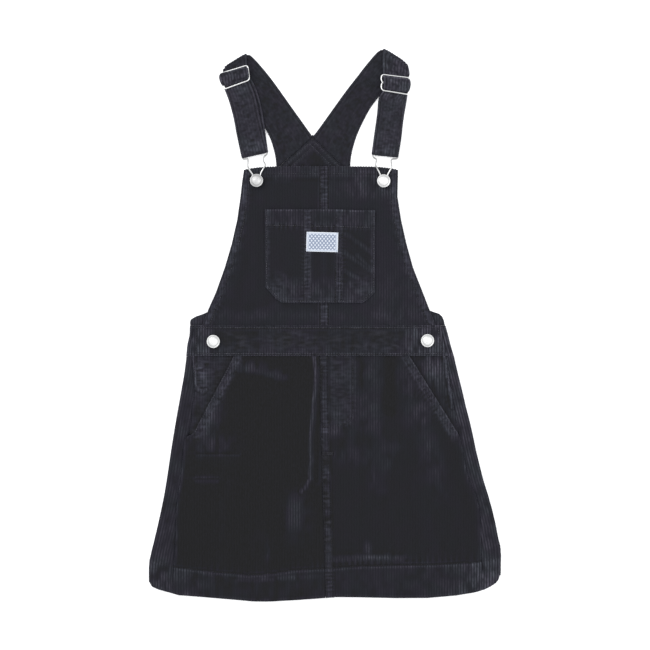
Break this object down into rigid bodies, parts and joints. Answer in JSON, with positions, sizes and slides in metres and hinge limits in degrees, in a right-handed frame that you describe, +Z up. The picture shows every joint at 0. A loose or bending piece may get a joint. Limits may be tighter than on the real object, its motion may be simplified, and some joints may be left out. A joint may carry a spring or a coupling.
{
  "type": "dungaree dress",
  "caption": "Child's corduroy dungaree dress laid flat: bib with patch pocket, A-line skirt with slant pockets, straps with wire sliders and hooks.",
  "frame": {"origin": "under the middle of the dress's bounding box, on the surface it lies on", "axes": "+Y from the hem to the straps, +X to the right of someone looking down on the dress's front, +Z up from the surface"},
  "size_m": [0.4292, 0.6727, 0.0127],
  "materials": {
    "corduroy": "matte",
    "label": "matte",
    "steel": "satin"
  },
  "bodies": {
    "root": {"skirt_back": "corduroy", "skirt_front_left": "corduroy", "skirt_front_right": "corduroy", "pocket_facing_left": "corduroy", "pocket_facing_right": "corduroy", "waistband_back": "corduroy", "waistband_front": "corduroy", "back_bib": "corduroy", "bib_left": "corduroy", "bib_right": "corduroy", "bib_pocket_left": "corduroy", "bib_pocket_middle": "corduroy", "bib_pocket_right": "corduroy", "label": "label", "strap_left": "corduroy", "strap_right": "corduroy", "slider_left": "steel", "slider_right": "steel", "hook_left": "steel", "hook_right": "steel", "button_bib_left": "steel", "button_bib_right": "steel", "button_waist_left": "steel", "button_waist_right": "steel"}
  },
  "joints": []
}
